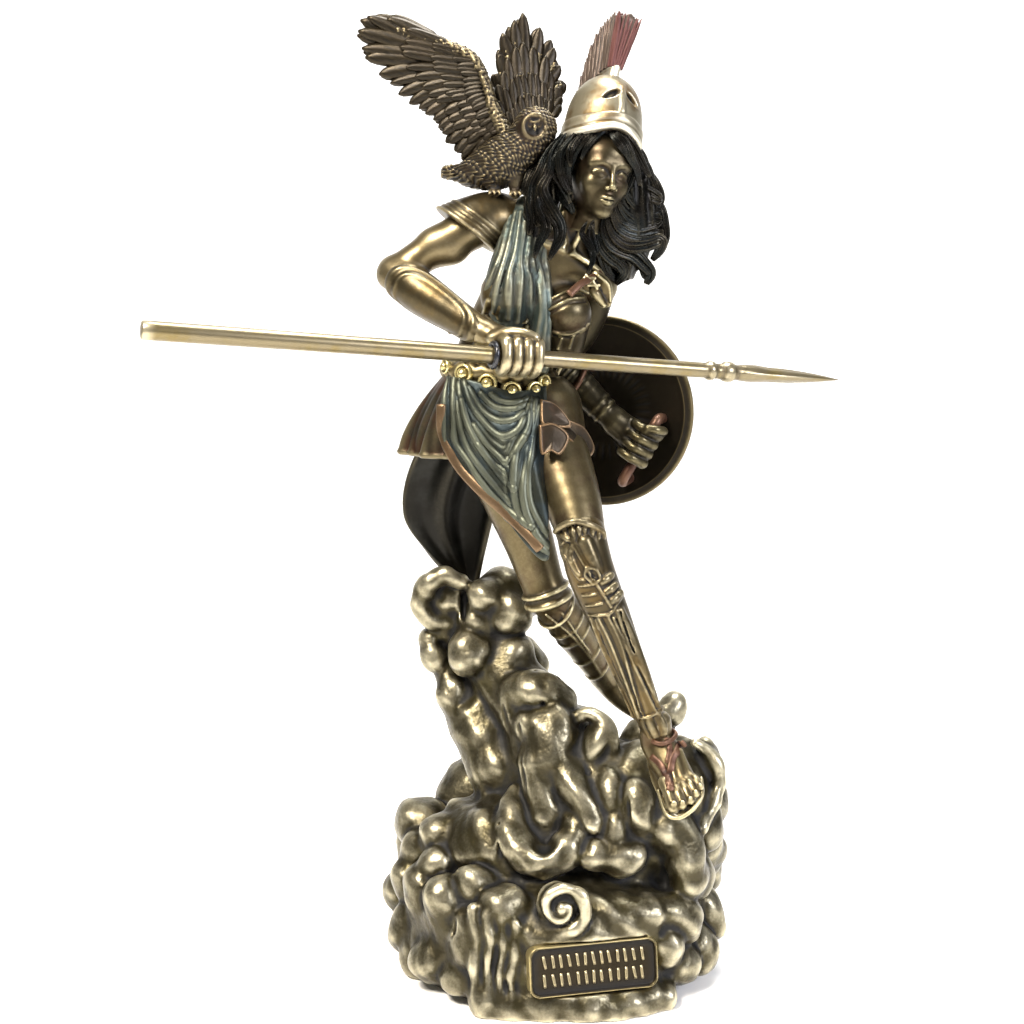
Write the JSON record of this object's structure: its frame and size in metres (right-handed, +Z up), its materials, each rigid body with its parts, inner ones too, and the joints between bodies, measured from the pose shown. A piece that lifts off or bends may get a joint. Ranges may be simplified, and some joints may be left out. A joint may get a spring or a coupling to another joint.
{
  "type": "goddess figurine",
  "caption": "Cold-cast bronze figurine of a helmeted warrior goddess stepping down from clouds, with an owl, a spear and a round shield.",
  "frame": {"origin": "middle of the flat underside of the cloud base, on the table", "axes": "+Z up, -Y the front that faces the viewer, +X the viewer's right"},
  "size_m": [0.1982, 0.1131, 0.2852],
  "materials": {
    "cloud_bronze": "antiqued bronze powder in resin, dark in the clefts",
    "figure_bronze": "antiqued and hand-tinted bronze powder in resin",
    "owl_bronze": "antiqued brown bronze powder in resin",
    "shield_bronze": "dark antiqued bronze powder in resin",
    "spear_bronze": "satin pale bronze",
    "black_rubber": "satin black"
  },
  "bodies": {
    "root": {"cloud_base": "cloud_bronze", "figure": "figure_bronze", "owl": "owl_bronze", "shield": "shield_bronze", "spear": "spear_bronze", "spear_stop_ring": "black_rubber"}
  },
  "joints": []
}
